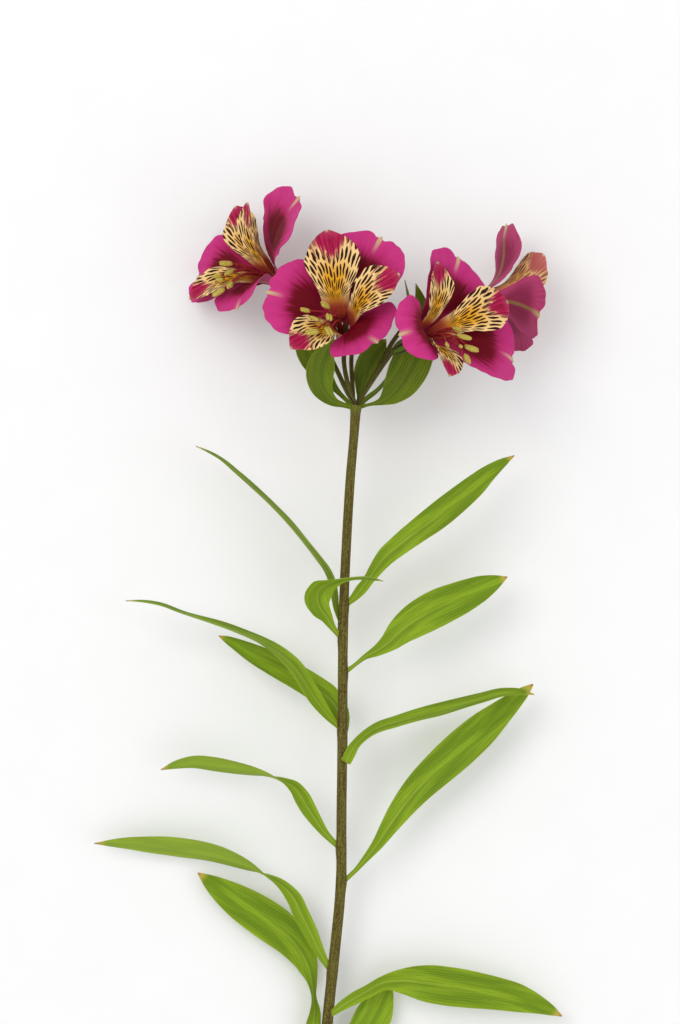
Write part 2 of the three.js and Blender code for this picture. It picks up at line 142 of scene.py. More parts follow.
def smooth(knots, values, wanted):
    """The values carried smoothly through the knots, at the wanted places along and past them."""
    slopes = np.gradient(values, knots, axis=0)
    held = np.clip(wanted, knots[0], knots[-1])
    cell = np.clip(np.searchsorted(knots, held) - 1, 0, len(knots) - 2)
    shape = (-1,) + (1,) * (values.ndim - 1)
    span = (knots[cell + 1] - knots[cell]).reshape(shape)
    t = (held - knots[cell]).reshape(shape) / span
    start = (1 + 2 * t) * (1 - t) ** 2 * values[cell] + t * (1 - t) ** 2 * span * slopes[cell]
    end = t * t * (3 - 2 * t) * values[cell + 1] + t * t * (t - 1) * span * slopes[cell + 1]
    past = (wanted - held).reshape(shape) * slopes[-1]
    return start + end + past


def lengths_along(line):
    """How far along the line each of its points is."""
    steps = np.linalg.norm(np.diff(line, axis=0), axis=1)
    return np.concatenate([[0], np.cumsum(steps)])


def unit(vectors):
    size = np.linalg.norm(vectors, axis=-1, keepdims=True)
    return vectors / np.maximum(size, 1e-12)


def ramp(value, low, high):
    """0 up to low, 1 from high on, and smooth between."""
    t = np.clip((value - low) / (high - low), 0, 1)
    return t * t * (3 - 2 * t)


def bell(value, width):
    return np.exp(-((value / width) ** 2))


def wave_field(name, points, pitch):
    """Smooth noise from -1 to 1 over the points, about one wave per pitch, different on each piece."""
    seed = (zlib.crc32(name.encode()) % 997) * 0.37
    rows = points.reshape(-1, 3) / pitch + seed
    return np.array([noise.noise(Vector(row)) for row in rows]).reshape(points.shape[:-1])


# ---- blades: leaves, bracts and petals -----------------------------------------------------------


class Blade:
    """A fine grid over the middle surface of a CAD blade: its rows run across it, from foot to tip.

    `along` is each point's place from 0 at the foot to 1 at the tip, `across` from -1 at the right
    margin to 1 at the left, and `upward` points out of the upper face. `root` is where the blade
    joins the plant, a little beyond the CAD's foot.
    """

    def __init__(self, node, near, up, up_ring, rows, columns, root, root_width, end=0.995):
        self.name = node
        _, rings, tip = cad_rings(node, near)
        half = rings.shape[1] // 2
        chords = [np.linalg.norm(rings[:, k] - rings[:, k + half], axis=1).mean() for k in range(half)]
        rings = np.roll(rings, -int(np.argmax(chords)), axis=1)
        lower = rings[:, : half + 1]
        upper = np.roll(rings[:, ::-1], 1, axis=1)[:, : half + 1]
        if np.dot((upper - lower)[up_ring, half // 2], up) < 0:
            lower, upper = upper[:, ::-1], lower[:, ::-1]
        middle = (lower + upper) / 2
        shares = np.linspace(-1, 1, half + 1)
        root_line = root + unit(middle[0, -1] - middle[0, 0]) * shares[:, None] * root_width / 2
        tip_line = np.repeat(tip[None], half + 1, axis=0)
        lines = np.concatenate([root_line[None], middle, tip_line[None]])
        knots = lengths_along(lines[:, half // 2])
        self.length = knots[-1]
        places = np.linspace(0, end, rows + 1)
        spread = np.sin(np.linspace(-math.pi / 2, math.pi / 2, columns + 1))
        drawn = smooth(knots, lines, places * self.length)
        self.points = smooth(shares, drawn.swapaxes(0, 1), spread).swapaxes(0, 1)
        self.along = np.repeat(places[:, None], columns + 1, axis=1)
        self.across = np.repeat(spread[None], rows + 1, axis=0)
        self.margin = np.abs(self.across)
        widths = np.linalg.norm(self.points[:, -1] - self.points[:, 0], axis=1)
        self.half_width = np.repeat(widths[:, None] / 2, columns + 1, axis=1)
        self.find_directions()

    def side(self):
        """How far each point is to the left of the midrib."""
        return self.across * self.half_width

    def find_directions(self):
        """Works out the upward directions again after the points have moved."""
        onward = np.gradient(self.points, axis=0)
        leftward = np.gradient(self.points, axis=1)
        self.upward = unit(np.cross(onward, leftward))

    def lift(self, heights):
        """Moves each point out of the upper face by its height."""
        self.points = self.points + self.upward * heights[..., None]

    def widen(self, times):
        """Makes each row so many times as wide about its middle."""
        middle = self.points[:, [self.points.shape[1] // 2]]
        self.points = middle + (self.points - middle) * times[:, None, None]
        self.half_width = self.half_width * times[:, None]

    def round_end(self, end_at):
        """Keeps the blade as wide as it has become, and ends each column at its own place along it."""
        widest = np.maximum.accumulate(self.half_width[:, 0])
        self.widen(widest / self.half_width[:, 0])
        shares = np.linspace(0, 1, len(self.points))
        places = shares[:, None] * end_at[None]
        columns = range(len(end_at))
        self.points = np.stack([smooth(shares, self.points[:, k], places[:, k]) for k in columns], axis=1)
        self.half_width = np.interp(places, shares, widest)
        self.along = self.along[-1, 0] * places
        self.margin = np.maximum(self.margin, shares[:, None])
        self.find_directions()

    def ruffle(self, pitch, height, bite, start):
        """Waves the margins up and down, and scallops them in and out, from `start` along the blade."""
        edge = self.margin**5 * ramp(self.along, start, start + 0.2)
        edge = edge * np.clip(self.half_width / (6 * MM), 0, 1)
        rows, columns = self.across.shape
        heart = self.points[int(0.6 * rows), columns // 2]
        outward = unit(self.points - heart)
        ups = wave_field(self.name, self.points, pitch)
        bites = wave_field(self.name + "_margin", self.points, pitch * 0.45)
        self.lift(height * ups * edge)
        self.points = self.points + outward * (bite * bites * edge)[..., None]

    def mesh(self, thickness, margin_thickness, throat=0.0):
        """A closed thin shell round the surface, with its patterns' coordinates as attributes.

        Where the blade would sink into the floor it lies flat on it.
        `fan` tells which of the rays that spread from the throat, a place along the blade, a point is on.
        """
        self.points[..., 2] = np.maximum(self.points[..., 2], cad_low.z + thickness / 2)
        self.find_directions()
        rows, columns = self.across.shape
        depth = (margin_thickness + (thickness - margin_thickness) * (1 - self.margin**3)) / 2
        top = self.points + self.upward * depth[..., None]
        bottom = self.points - self.upward * depth[..., None]
        top_ids = np.arange(rows * columns).reshape(rows, columns)
        low_ids = top_ids + rows * columns
        faces = grid_faces(top_ids) + grid_faces(low_ids[:, ::-1])
        faces += grid_faces(np.stack([low_ids[:, 0], top_ids[:, 0]], axis=1))
        faces += grid_faces(np.stack([top_ids[:, -1], low_ids[:, -1]], axis=1))
        faces += grid_faces(np.stack([low_ids[0], top_ids[0]]))
        faces += grid_faces(np.stack([top_ids[-1], low_ids[-1]]))
        mesh = bpy.data.meshes.new(self.name + "_fine")
        mesh.from_pydata(np.concatenate([top, bottom]).reshape(-1, 3).tolist(), [], faces)
        values = {
            "along": self.along,
            "across": self.across,
            "margin": self.margin,
            "side_mm": self.side() / MM,
            "length_mm": self.along * self.length / MM,
            "fan": self.side() / np.maximum((self.along - throat) * self.length, 2 * MM),
        }
        for name, value in values.items():
            write_attribute(mesh, name, np.tile(value.ravel(), 2))
        write_attribute(mesh, "upper", np.repeat([1.0, 0.0], rows * columns))
        return mesh


def grid_faces(ids):
    """The quads between the neighbouring rows and columns of a grid of vertex numbers."""
    corners = [ids[:-1, :-1], ids[1:, :-1], ids[1:, 1:], ids[:-1, 1:]]
    return np.stack(corners, axis=-1).reshape(-1, 4).tolist()


def write_attribute(mesh, name, values):
    attribute = mesh.attributes.new(name, "FLOAT", "POINT")
    attribute.data.foreach_set("value", np.asarray(values, np.float32))


def add_piece(name, mesh, material, node):
    """Shades the mesh, rides it on the plant and shows it in place of the CAD node."""
    mesh.shade_smooth()
    mesh.materials.append(material)
    piece = bpy.data.objects.new(name, mesh)
    bpy.context.scene.collection.objects.link(piece)
    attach(piece, BODY)
    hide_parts(node)


# ---- tubes: stem, stalks and bud -----------------------------------------------------------------


class Tube:
    """A fine round skin through a CAD stalk's rings, carried on past its foot by `lead`."""

    def __init__(self, node, near, rows, sides, lead=0.0):
        self.name = node
        rings = cad_rings(node, near)[1]
        centres = rings.mean(axis=1)
        radii = np.linalg.norm(rings - centres[:, None], axis=2).mean(axis=1)
        if lead:
            before = centres[0] - unit(centres[1] - centres[0]) * lead
            centres = np.concatenate([before[None], centres])
            radii = np.concatenate([radii[:1], radii])
        knots = lengths_along(centres)
        self.length = knots[-1]
        self.along = np.linspace(0, 1, rows + 1)
        self.centres = smooth(knots, centres, self.along * self.length)
        self.radii = smooth(knots, radii, self.along * self.length)
        onward = unit(np.gradient(self.centres, axis=0))
        self.side = np.zeros_like(onward)
        side = np.cross(onward[0], UP)
        for row, direction in enumerate(onward):
            side = unit(side - direction * np.dot(side, direction))
            self.side[row] = side
        self.over = np.cross(onward, self.side)
        self.angles = np.linspace(0, 2 * math.pi, sides, endpoint=False)
        self.swell = np.ones((rows + 1, sides))

    def mesh(self):
        """The closed skin; `rim` is 1 on it and falls to 0 at the middle of each end."""
        rows, sides = self.swell.shape
        cosine, sine = np.cos(self.angles), np.sin(self.angles)
        outward = self.side[:, None] * cosine[None, :, None] + self.over[:, None] * sine[None, :, None]
        points = self.centres[:, None] + outward * (self.radii[:, None] * self.swell)[..., None]
        ids = np.arange(rows * sides).reshape(rows, sides)
        ids = np.concatenate([ids, ids[:, :1]], axis=1)
        first, last = rows * sides, rows * sides + 1
        faces = grid_faces(ids[:, ::-1])
        faces += [(first, b, a) for a, b in zip(ids[0], ids[0, 1:])]
        faces += [(last, a, b) for a, b in zip(ids[-1], ids[-1, 1:])]
        vertices = points.reshape(-1, 3).tolist() + [self.centres[0].tolist(), self.centres[-1].tolist()]
        mesh = bpy.data.meshes.new(self.name + "_fine")
        mesh.from_pydata(vertices, [], faces)
        along = with_ends(np.repeat(self.along[:, None], sides, axis=1), 0, 1)
        write_attribute(mesh, "along", along)
        write_attribute(mesh, "length_mm", along * self.length / MM)
        write_attribute(mesh, "ring_x", with_ends(np.tile(cosine, (rows, 1)), 0, 0))
        write_attribute(mesh, "ring_y", with_ends(np.tile(sine, (rows, 1)), 0, 0))
        write_attribute(mesh, "rim", with_ends(np.ones((rows, sides)), 0, 0))
        return mesh


def with_ends(values, first, last):
    """A tube's values with those of the middle points of its two ends."""
    return np.concatenate([values.ravel(), [first, last]])


# ---- materials -----------------------------------------------------------------------------------


def colour(code):
    """A linear colour from an sRGB hex code."""
    parts = [int(code[i : i + 2], 16) / 255 for i in (1, 3, 5)]
    linear = [p / 12.92 if p <= 0.04045 else ((p + 0.055) / 1.055) ** 2.4 for p in parts]
    return (*linear, 1.0)


class Paint:
    """One material's shader nodes under short names."""

    def __init__(self, name, roughness, soft=0.0):
        self.material = bpy.data.materials.new(name)
        self.material.use_nodes = True
        self.tree = self.material.node_tree
        self.shader = self.tree.nodes["Principled BSDF"]
        self.shader.inputs["Roughness"].default_value = roughness
        self.shader.inputs["Specular IOR Level"].default_value = 0.12
        if soft:
            self.shader.inputs["Subsurface Weight"].default_value = soft
            self.shader.inputs["Subsurface Radius"].default_value = (1.0, 0.6, 0.4)
            self.shader.inputs["Subsurface Scale"].default_value = 0.0006

    def node(self, kind, inputs, output=0, **settings):
        made = self.tree.nodes.new(kind)
        for key, value in settings.items():
            setattr(made, key, value)
        for key, value in inputs.items():
            self.feed(made.inputs[key], value)
        return made.outputs[output]

    def feed(self, socket, value):
        if isinstance(value, bpy.types.NodeSocket):
            self.tree.links.new(value, socket)
        else:
            socket.default_value = value

    def read(self, name):
        return self.node("ShaderNodeAttribute", {}, "Fac", attribute_name=name)

    def math(self, operation, a, b=0.0):
        return self.node("ShaderNodeMath", {0: a, 1: b}, operation=operation)

    def add(self, a, b):
        return self.math("ADD", a, b)

    def times(self, a, b):
        return self.math("MULTIPLY", a, b)

    def size(self, a):
        return self.math("ABSOLUTE", a)

    def square(self, a):
        return self.math("MULTIPLY", a, a)

    def ramp(self, value, low, high):
        """0 up to low, 1 from high on, and smooth between; it falls instead if low is the larger."""
        inputs = {"Value": value, "From Min": low, "From Max": high}
        return self.node("ShaderNodeMapRange", inputs, interpolation_type="SMOOTHSTEP")

    def vector(self, x, y, z=0.0):
        return self.node("ShaderNodeCombineXYZ", {"X": x, "Y": y, "Z": z})

    def noise(self, vector, scale=1.0, detail=2.0):
        return self.node("ShaderNodeTexNoise", {"Vector": vector, "Scale": scale, "Detail": detail})

    def mix(self, share, first, second):
        made = self.tree.nodes.new("ShaderNodeMix")
        made.data_type = "RGBA"
        self.feed(made.inputs["Factor"], share)
        self.feed(made.inputs[6], first)
        self.feed(made.inputs[7], second)
        return made.outputs[2]

    def finish(self, base, height, depth):
        """Sets the colour, and a fine relief of that depth."""
        self.feed(self.shader.inputs["Base Color"], base)
        bump = self.node("ShaderNodeBump", {"Height": height, "Distance": depth, "Strength": 0.6}, "Normal")
        self.feed(self.shader.inputs["Normal"], bump)
        return self.material


def leaf_material(name, bright, deep, pale, tip, veining, midrib):
    """Parallel veins, a light midrib near the foot, a paler underside and a dry tip."""
    paint = Paint(name, roughness=0.55, soft=0.1)
    along, across, margin = paint.read("along"), paint.read("across"), paint.read("margin")
    length, side = paint.read("length_mm"), paint.read("side_mm")
    drift = paint.noise(paint.vector(across, paint.times(length, 0.03)), 2.0)
    vein_place = paint.add(paint.times(across, 24.0), paint.times(drift, 3.0))
    veins = paint.math("POWER", paint.size(paint.math("COSINE", vein_place)), 4.0)
    streaks = paint.noise(paint.vector(paint.times(side, 1.5), paint.times(length, 0.06)), 1.0, 3.0)
    shades = paint.noise(paint.vector(paint.times(side, 0.22), paint.times(length, 0.022)), 1.0, 2.0)
    grain = paint.noise(paint.vector(paint.times(side, 3.0), paint.times(length, 1.1)), 1.0, 2.0)
    body = paint.mix(paint.ramp(shades, 0.35, 0.62), colour(deep), colour(bright))
    body = paint.mix(paint.times(paint.ramp(streaks, 0.42, 0.68), 0.65), body, colour(deep))
    body = paint.mix(paint.times(paint.ramp(grain, 0.5, 0.75), 0.22), body, colour(pale))
    body = paint.mix(paint.times(veins, veining), body, colour(pale))
    body = paint.mix(paint.times(paint.ramp(along, 0.3, 0.02), 0.5), body, colour(bright))
    rib = paint.times(paint.ramp(paint.size(side), 0.5, 0.1), paint.ramp(along, 0.75, 0.15))
    body = paint.mix(paint.times(rib, midrib), body, colour("#A9B64E"))
    under = paint.mix(0.5, body, colour(pale))
    body = paint.mix(paint.read("upper"), under, body)
    body = paint.mix(paint.times(paint.ramp(margin, 0.93, 1.0), 0.4), body, colour("#A3AE3A"))
    ripe = paint.add(along, paint.times(streaks, 0.02))
    body = paint.mix(paint.ramp(ripe, 0.955, 0.99), body, colour(tip))
    body = paint.mix(paint.ramp(ripe, 0.985, 1.003), body, colour("#B98A4A"))
    relief = paint.add(paint.times(veins, 0.8), paint.times(streaks, 0.6))
    return paint.finish(body, relief, 0.12 * MM)


def outer_petal_material():
    """Magenta pink with fine veins, a ragged maroon blotch, a crimson claw and a pale green tip.

    The back is duller, with a green keel down the middle, and painted shade darkens the back round the middle
    of the petal.
    """
    paint = Paint("outer_petal", roughness=0.6, soft=0.1)
    along, across, margin = paint.read("along"), paint.read("across"), paint.read("margin")
    length, side, fan = paint.read("length_mm"), paint.read("side_mm"), paint.read("fan")
    fine = paint.noise(paint.vector(paint.times(fan, 34.0), paint.times(length, 0.07)), 1.0, 3.0)
    broad = paint.noise(paint.vector(paint.times(fan, 7.0), paint.times(length, 0.06)), 1.0, 2.0)
    body = paint.mix(paint.ramp(broad, 0.35, 0.7), colour("#C42B74"), colour("#B21D64"))
    body = paint.mix(paint.times(paint.ramp(fine, 0.46, 0.7), 0.5), body, colour("#9A164A"))
    body = paint.mix(paint.times(paint.ramp(margin, 0.55, 1.0), 0.6), body, colour("#CB3A86"))
    down = paint.times(paint.add(along, -0.59), 1 / 0.2)
    aside = paint.times(across, 1 / 0.66)
    reach = paint.math("SQRT", paint.add(paint.square(down), paint.square(aside)))
    ragged = paint.add(reach, paint.times(paint.add(fine, -0.5), 1.1))
    halo = paint.ramp(ragged, 1.55, 0.7)
    body = paint.mix(paint.times(halo, 0.7), body, colour("#960F3C"))
    blotch = paint.ramp(ragged, 1.12, 0.7)
    body = paint.mix(blotch, body, colour("#6A0016"))
    body = paint.mix(paint.times(paint.ramp(along, 0.46, 0.34), 0.9), body, colour("#9A1C40"))
    body = paint.mix(paint.ramp(along, 0.2, 0.05), body, colour("#7A5A2E"))
    back = paint.mix(paint.times(paint.ramp(fine, 0.45, 0.7), 0.6), colour("#B4446F"), colour("#8A2450"))
    # Painted shade: the middle of the petal's back is darkened to deep maroon.
    back = paint.mix(paint.times(halo, 0.65), back, colour("#70142F"))
    back = paint.mix(paint.times(paint.ramp(along, 0.4, 0.1), 0.6), back, colour("#8A4A40"))
    keel = paint.ramp(paint.size(side), 1.3, 0.3)
    back = paint.mix(paint.times(keel, 0.7), back, colour("#8A7A3C"))
    body = paint.mix(paint.read("upper"), back, body)
    feather = paint.add(paint.size(side), paint.times(paint.add(fine, -0.5), 3.0))
    spot = paint.times(paint.ramp(along, 0.8, 1.0), paint.ramp(feather, 1.8, 0.2))
    body = paint.mix(paint.times(spot, 0.85), body, colour("#C9BE86"))
    return paint.finish(body, fine, 0.1 * MM)


def dashes(paint, rays, pitch, fan, length):
    """Slender dashes along rays from the throat: 1 inside a dash, 0 outside."""
    wander = paint.noise(paint.vector(paint.times(fan, 4.0), paint.times(length, 0.12)), 1.0)
    place = paint.add(paint.times(fan, rays), paint.times(wander, 1.6))
    ray = paint.math("FLOOR", place)
    start = paint.node("ShaderNodeTexWhiteNoise", {"W": ray}, "Value", noise_dimensions="1D")
    step = paint.add(paint.times(length, 1 / pitch), start)
    off_line = paint.size(paint.add(paint.math("FRACT", place), -0.5))
    off_centre = paint.size(paint.add(paint.math("FRACT", step), -0.5))
    across_part = paint.square(paint.times(off_line, 1 / 0.31))
    along_part = paint.square(paint.times(off_centre, 1 / 0.43))
    return paint.ramp(paint.add(across_part, along_part), 1.15, 0.8)


def inner_petal_material():
    """Cream round gold, black-brown dashes that fan out, and a crimson middle toward the tip."""
    paint = Paint("inner_petal", roughness=0.6, soft=0.1)
    along, across = paint.read("along"), paint.read("across")
    length, side, fan = paint.read("length_mm"), paint.read("side_mm"), paint.read("fan")
    fine = paint.noise(paint.vector(paint.times(fan, 30.0), paint.times(length, 0.08)), 1.0, 3.0)
    middle = paint.ramp(paint.size(across), 0.95, 0.25)
    gold = paint.times(paint.ramp(along, 0.82, 0.58), middle)
    body = paint.mix(gold, colour("#F2CD8C"), colour("#DEA016"))
    body = paint.mix(paint.ramp(along, 0.46, 0.32), body, colour("#A23A2A"))
    body = paint.mix(paint.times(paint.ramp(fine, 0.5, 0.7), 0.3), body, colour("#E0A468"))
    band = paint.add(along, paint.times(paint.size(across), -0.15))
    band = paint.add(band, paint.times(paint.add(fine, -0.5), 0.3))
    crimson = paint.ramp(band, 0.7, 0.78)
    rose = paint.mix(paint.ramp(fine, 0.4, 0.65), colour("#B61A50"), colour("#8A0830"))
    body = paint.mix(crimson, body, rose)
    body = paint.mix(paint.times(paint.ramp(along, 0.9, 1.0), 0.35), body, colour("#CC5A7C"))
    placed = paint.times(paint.ramp(along, 0.36, 0.46), paint.ramp(along, 0.97, 0.93))
    placed = paint.times(placed, paint.add(1.0, paint.times(crimson, -0.9)))
    marks = paint.times(dashes(paint, 11.5, 6.4, fan, length), placed)
    dashed = paint.mix(marks, body, colour("#32100A"))
    pale_back = paint.mix(0.35, dashed, colour("#D8A07A"))
    body = paint.mix(paint.read("upper"), pale_back, dashed)
    tip = paint.times(paint.ramp(along, 0.965, 0.99), paint.ramp(paint.size(side), 1.2, 0.3))
    body = paint.mix(paint.times(tip, 0.8), body, colour("#D6C890"))
    return paint.finish(body, fine, 0.08 * MM)


def stem_material():
    """Mottled brown over green in long fine streaks, green at the whorl, with a pale cut end."""
    paint = Paint("stem_skin", roughness=0.55)
    along, length = paint.read("along"), paint.read("length_mm")
    x, y = paint.read("ring_x"), paint.read("ring_y")
    streak_place = paint.vector(paint.times(x, 3.2), paint.times(y, 3.2), paint.times(length, 0.05))
    streaks = paint.noise(streak_place, 1.6, 4.0)
    speck_place = paint.vector(paint.times(x, 3.0), paint.times(y, 3.0), paint.times(length, 0.55))
    specks = paint.noise(speck_place, 1.7, 3.0)
    body = paint.mix(paint.ramp(streaks, 0.38, 0.62), colour("#6B6826"), colour("#553F1C"))
    body = paint.mix(paint.times(paint.ramp(specks, 0.5, 0.62), 0.65), body, colour("#35260F"))
    body = paint.mix(paint.times(paint.ramp(specks, 0.46, 0.34), 0.5), body, colour("#8B8646"))
    body = paint.mix(paint.times(paint.ramp(along, 0.985, 1.0), 0.7), body, colour("#6E7A26"))
    cut = paint.mix(paint.noise(paint.vector(x, y), 6.0), colour("#B9C08A"), colour("#8E9A58"))
    body = paint.mix(paint.ramp(paint.read("rim"), 0.93, 0.85), body, cut)
    return paint.finish(body, paint.add(streaks, paint.times(specks, 0.5)), 0.15 * MM)


def stalk_material():
    """Brown-purple on green, with a green ovary whose ribs are dark."""
    paint = Paint("flower_stalk", roughness=0.55)
    length, x, y = paint.read("length_mm"), paint.read("ring_x"), paint.read("ring_y")
    place = paint.vector(paint.times(x, 2.0), paint.times(y, 2.0), paint.times(length, 0.08))
    streaks = paint.noise(place, 1.6, 3.0)
    body = paint.mix(paint.ramp(streaks, 0.4, 0.62), colour("#5A5E22"), colour("#432F1E"))
    ovary = paint.mix(paint.ramp(paint.read("rib"), 0.35, 0.9), colour("#56701F"), colour("#3B2A1A"))
    body = paint.mix(paint.read("ovary"), body, ovary)
    return paint.finish(body, streaks, 0.1 * MM)


def stamen_material(name, first, second, scale, depth):
    """A fine-grained mix of two colours."""
    paint = Paint(name, roughness=0.7, soft=0.1)
    grain = paint.noise(paint.node("ShaderNodeTexCoord", {}, "Object"), scale, 3.0)
    return paint.finish(paint.mix(paint.ramp(grain, 0.35, 0.65), colour(first), colour(second)), grain, depth)


def bud_material():
    """Pink petals folded together, green along their keels and at the tip."""
    paint = Paint("bud_petal", roughness=0.6, soft=0.1)
    along, x, y = paint.read("along"), paint.read("ring_x"), paint.read("ring_y")
    place = paint.vector(paint.times(x, 3.0), paint.times(y, 3.0), paint.times(along, 1.5))
    streaks = paint.noise(place, 1.5, 3.0)
    body = paint.mix(paint.ramp(streaks, 0.4, 0.65), colour("#B8406E"), colour("#942A58"))
    body = paint.mix(paint.times(paint.ramp(paint.read("rib"), 0.4, 0.95), 0.7), body, colour("#6E7A34"))
    body = paint.mix(paint.ramp(along, 0.3, 0.0), body, colour("#5E7028"))
    body = paint.mix(paint.ramp(along, 0.8, 1.0), body, colour("#7C9040"))
    return paint.finish(body, streaks, 0.1 * MM)


# ---- stem ----------------------------------------------------------------------------------------

STEM_FOOT = (0.0, cad_low.y, 0.0)
stem = Tube("stem", STEM_FOOT, rows=380, sides=32)
STEM_TOP = stem.centres[-1]
STEM_RIBS = 9
RIB_HEIGHT = 0.018  # as a share of the stem's radius


def foot_beside_stem(node):
    """The point of a CAD piece that is nearest to the stem, and the stem's row beside it."""
    points = cad_points(node)
    gaps = np.linalg.norm(points[:, None] - stem.centres[None], axis=2)
    point, row = np.unravel_index(np.argmin(gaps), gaps.shape)
    return points[point], row


def build_stem():
    """Faint lengthwise ribs, and a small swelling below each leaf."""
    around = np.stack([np.cos(stem.angles), np.sin(stem.angles)], axis=1)
    stem.swell = stem.swell + RIB_HEIGHT * np.cos(STEM_RIBS * stem.angles)
    for node in LEAVES:
        foot, row = foot_beside_stem(node)
        direction = unit(foot - stem.centres[row])
        facing = around @ np.array([stem.side[row] @ direction, stem.over[row] @ direction])
        below = (stem.along - stem.along[row]) * stem.length / MM + 2.0
        bulge = bell(below, 3.6)[:, None]
        stem.swell = stem.swell + bulge * (0.03 + 0.13 * ramp(facing, 0.1, 1.0)[None])
    to_top = (1 - stem.along) * stem.length / MM
    stem.swell = stem.swell + 0.22 * bell(to_top, 2.4)[:, None]
    add_piece("stem_skin", stem.mesh(), stem_material(), "stem")


# ---- leaves and bracts ---------------------------------------------------------------------------


def build_leaf(node, material, rows, columns):
    """A pleated leaf with a grooved midrib, its narrow foot set into the stem."""
    foot, row = foot_beside_stem(node)
    inside = stem.centres[max(row - 2, 0)]
    root = inside + unit(foot - inside) * stem.radii[row] * 0.7
    leaf = Blade(node, foot, UP, 0, rows, columns, root, LEAF_ROOT_WIDTH)
    grown = ramp(leaf.along, 0.06, 0.25) * (1 - ramp(leaf.along, 0.8, 1.0))
    groove = -0.2 * MM * bell(leaf.side(), 0.7 * MM)
    pleats = 0.07 * MM * np.cos(leaf.side() / (1.4 * MM) * math.pi)
    leaf.lift((groove + pleats) * grown)
    leaf.ruffle(pitch=20 * MM, height=1.0 * MM, bite=0.0, start=0.1)
    mesh = leaf.mesh(BLADE_THICKNESS, LEAF_MARGIN_THICKNESS)
    add_piece(node + "_blade", mesh, material, node)


# ---- flowers -------------------------------------------------------------------------------------

THROAT = 0.32  # the place along a petal from which its veins spread
TIP_RING = -3  # a ring where a petal's upper face is turned the way the flower faces
CLAW_PLACE = 0.2  # the middle of a petal's narrow claw, and how far it reaches to each side
CLAW_SPREAD = 0.16
FILAMENT_RADII = (0.55 * MM, 0.34 * MM)  # at the foot and at the anther


def flower_axis(name):
    """A flower's base (the top of its ovary) and the direction it faces, from its CAD stalk."""
    _, rings, tip = cad_rings(name + "_stalk", STEM_TOP)
    centres = rings.mean(axis=1)
    return tip, unit(centres[-1] - centres[-3])


def petal_blade(node, base, axis, rows, columns, end):
    """A petal's blade, whose root is set into the flower's base."""
    points = cad_points(node)
    foot = points[np.argmin(np.linalg.norm(points - base, axis=1))]
    root = base + (foot - base) * 0.7 - axis * 0.6 * MM
    return Blade(node, base, axis, TIP_RING, rows, columns, root, PETAL_ROOT_WIDTH, end)


def claw(petal):
    """1 at the middle of the petal's claw, falling to 0 beyond its ends."""
    return bell(petal.along[:, 0] - CLAW_PLACE, CLAW_SPREAD)


def build_outer_petal(node, base, axis, material):
    """A broad round petal, a little folded along the middle, with a notched and pointed tip."""
    petal = petal_blade(node, base, axis, 60, 56, 0.97)
    across = petal.across[0]
    petal.widen(1.1 + 0.9 * claw(petal))
    lobes = 0.65 + 0.4 * np.sqrt(np.clip(1 - np.abs(across) ** 2.2, 0, 1))
    notch = 0.06 * bell(across, 0.19)
    point = 0.05 * bell(across, 0.06)
    petal.round_end(lobes - notch + point)
    grown = ramp(petal.along, 0.3, 0.6)
    keel = -0.5 * MM * bell(petal.across, 0.12)
    veins = 0.04 * MM * np.cos(petal.across * 34)
    petal.lift((keel + veins) * grown)
    petal.ruffle(pitch=9 * MM, height=2.0 * MM, bite=0.8 * MM, start=0.4)
    mesh = petal.mesh(BLADE_THICKNESS, PETAL_MARGIN_THICKNESS, THROAT)
    add_piece(node + "_blade", mesh, material, node)


def build_inner_petal(node, base, axis, material):
    """A narrower petal, channelled along the middle, that ends in a small pale point."""
    petal = petal_blade(node, base, axis, 60, 36, 0.992)
    petal.widen(1 + 1.1 * claw(petal))
    grown = ramp(petal.along, 0.25, 0.5)
    keel = -0.6 * MM * bell(petal.across, 0.16)
    veins = 0.04 * MM * np.cos(petal.across * 26)
    petal.lift((keel + veins) * grown)
    petal.ruffle(pitch=8 * MM, height=1.3 * MM, bite=0.5 * MM, start=0.4)
    mesh = petal.mesh(BLADE_THICKNESS, PETAL_MARGIN_THICKNESS, THROAT)
    add_piece(node + "_blade", mesh, material, node)


def build_stalk(name, material, ovary_length):
    """A stalk with six ribs on the swollen ovary at its end."""
    stalk = Tube(name, STEM_TOP, rows=100, sides=24, lead=1.4 * MM)
    to_end = (1 - stalk.along) * stalk.length
    swollen = 1 - ramp(to_end, 0.75 * ovary_length, 1.15 * ovary_length)
    ovary = np.repeat(swollen[:, None], len(stalk.angles), axis=1)
    ribs = np.repeat(np.cos(6 * stalk.angles)[None], len(stalk.along), axis=0)
    stalk.swell = stalk.swell + 0.09 * ovary * ribs
    mesh = stalk.mesh()
    write_attribute(mesh, "rib", with_ends((ribs + 1) / 2, 0, 0))
    write_attribute(mesh, "ovary", with_ends(ovary, 0, 1))
    add_piece(name + "_skin", mesh, material, name)


# Each stamen: degrees from the side to which they all bend, distance from the flower's axis and
# height above the ovary in millimetres, and the size of its anther.
STAMENS = [
    (-28, 6, 31, 0.9),
    (14, 8, 30, 1.0),
    (-8, 13, 30, 0.6),
    (28, 14, 29, 1.0),
    (-34, 15, 28, 0.7),
    (6, 18, 29, 0.95),
]
STYLE_DISTANCE = 3.4
STYLE_HEIGHT = 26

# Half the length, width and height of each of an anther's two lobes, and how far they are to each side.
LOBE_LENGTH = 3.5 * MM
LOBE_WIDTH = 0.9 * MM
LOBE_HEIGHT = 1.0 * MM
LOBE_OFFSET = 0.66 * MM


def thread_line(base, axis, outward, foot_radius, distance, height):
    """A stamen's centre line: straight up in the tube of the flower, then bent outward."""
    places = [(0.0, 0.4), (0.6, height * 0.45), (distance * 0.35, height * 0.8), (distance, height)]
    foot = base + outward * foot_radius * MM
    stations = np.array([foot + outward * r * MM + axis * h * MM for r, h in places])
    knots = lengths_along(stations)
    return smooth(knots, stations, np.linspace(0, 1, 25) * knots[-1])


